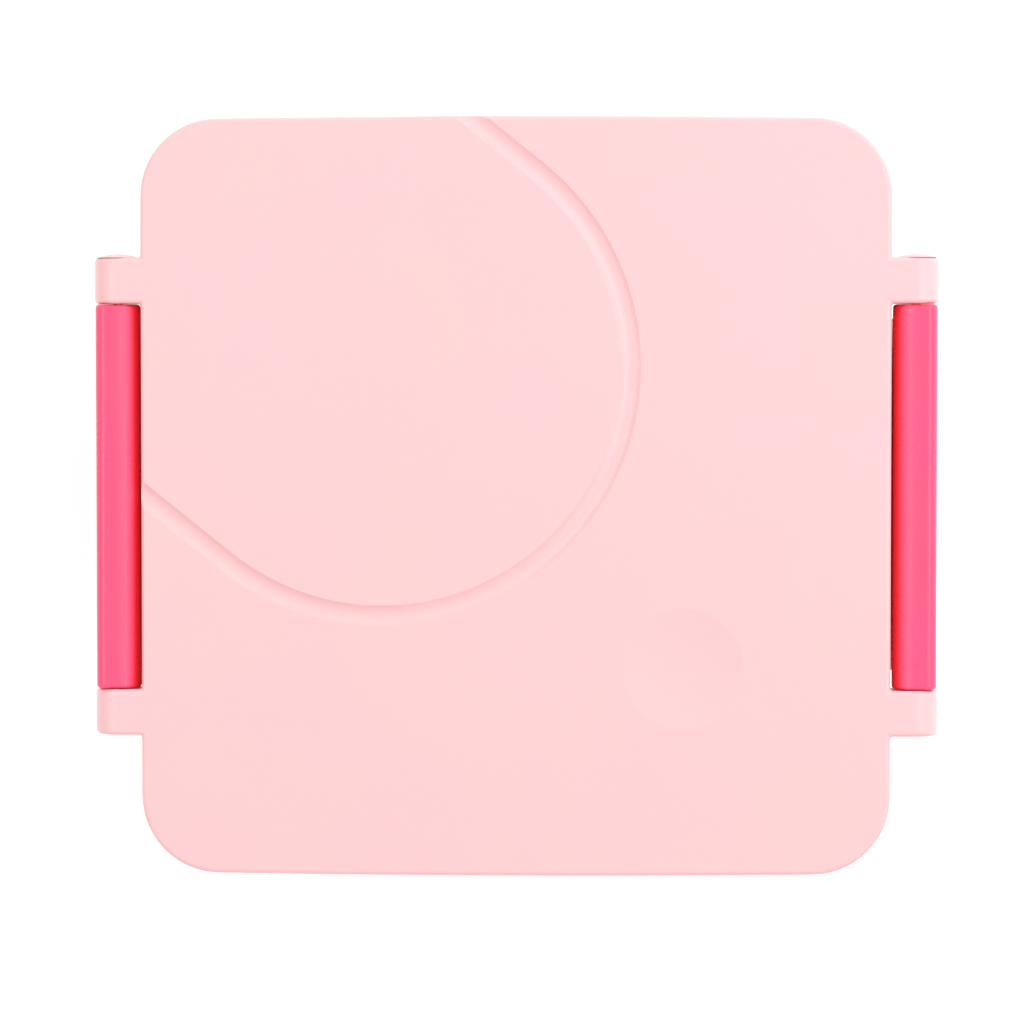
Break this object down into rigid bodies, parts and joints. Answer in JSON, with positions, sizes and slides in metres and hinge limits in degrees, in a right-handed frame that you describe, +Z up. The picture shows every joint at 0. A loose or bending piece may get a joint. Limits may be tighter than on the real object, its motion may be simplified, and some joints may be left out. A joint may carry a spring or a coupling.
{
  "type": "bento lunch box",
  "caption": "Square bento lunch box with a lift-off lid held by long side flip latches, a divided lift-out tray and a round insulated food jar.",
  "frame": {"origin": "middle of the underside, at the level of the feet", "axes": "+X from the left latch to the right latch, +Y towards the back, where the latch pins' caps are, +Z up through the lid"},
  "size_m": [0.217, 0.195, 0.089],
  "materials": {
    "lid_pink": "fine satin moulded plastic, pale pink",
    "base_pink": "fine satin moulded plastic, pale pink",
    "latch_pink": "semi-gloss moulded plastic, strong pink",
    "white_plastic": "food-grade satin white",
    "clear_silicone": "translucent milky silicone",
    "grey_silicone": "soft matt silicone",
    "jar_steel": "fine turned brush marks",
    "pin_steel": "drawn wire"
  },
  "bodies": {
    "base": {"base_shell": "base_pink", "feet": "grey_silicone"},
    "tray": {"food_tray": "white_plastic", "divider_front": "latch_pink", "divider_side": "latch_pink"},
    "jar": {"jar_outer_wall": "jar_steel", "jar_inner_cup": "jar_steel", "jar_collar": "white_plastic", "jar_base_pad": "grey_silicone"},
    "jar_lid": {"jar_lid_shell": "latch_pink", "jar_lid_grip": "white_plastic", "jar_lid_liner": "white_plastic", "jar_lid_seal": "clear_silicone", "jar_vent_plug": "grey_silicone"},
    "lid": {"lid_cover": "lid_pink", "lid_liner": "white_plastic", "lid_seal": "clear_silicone", "latch_pin_left": "pin_steel", "latch_pin_right": "pin_steel", "pin_cap_left": "lid_pink", "pin_cap_right": "lid_pink"},
    "latch_left": {"latch_left": "latch_pink"},
    "latch_right": {"latch_right": "latch_pink"}
  },
  "joints": [
    {"name": "tray_lift", "type": "slide", "parent": "base", "child": "tray", "axis": [0, 0, 1], "range_m": [0, 0.09]},
    {"name": "jar_lift", "type": "slide", "parent": "tray", "child": "jar", "axis": [0, 0, 1], "range_m": [0, 0.09]},
    {"name": "jar_lid_twist", "type": "hinge", "parent": "jar", "child": "jar_lid", "pos_m": [-0.0345, 0.035, 0.07], "axis": [0, 0, 1], "range_deg": [0, 45]},
    {"name": "lid_lift", "type": "slide", "parent": "jar", "child": "lid", "axis": [0, 0, 1], "range_m": [0, 0.1]},
    {"name": "latch_left_flip", "type": "hinge", "parent": "lid", "child": "latch_left", "pos_m": [-0.1027, 0, 0.0832], "axis": [0, 1, 0], "range_deg": [0, 100]},
    {"name": "latch_right_flip", "type": "hinge", "parent": "lid", "child": "latch_right", "pos_m": [0.1027, 0, 0.0832], "axis": [0, -1, 0], "range_deg": [0, 100]}
  ]
}
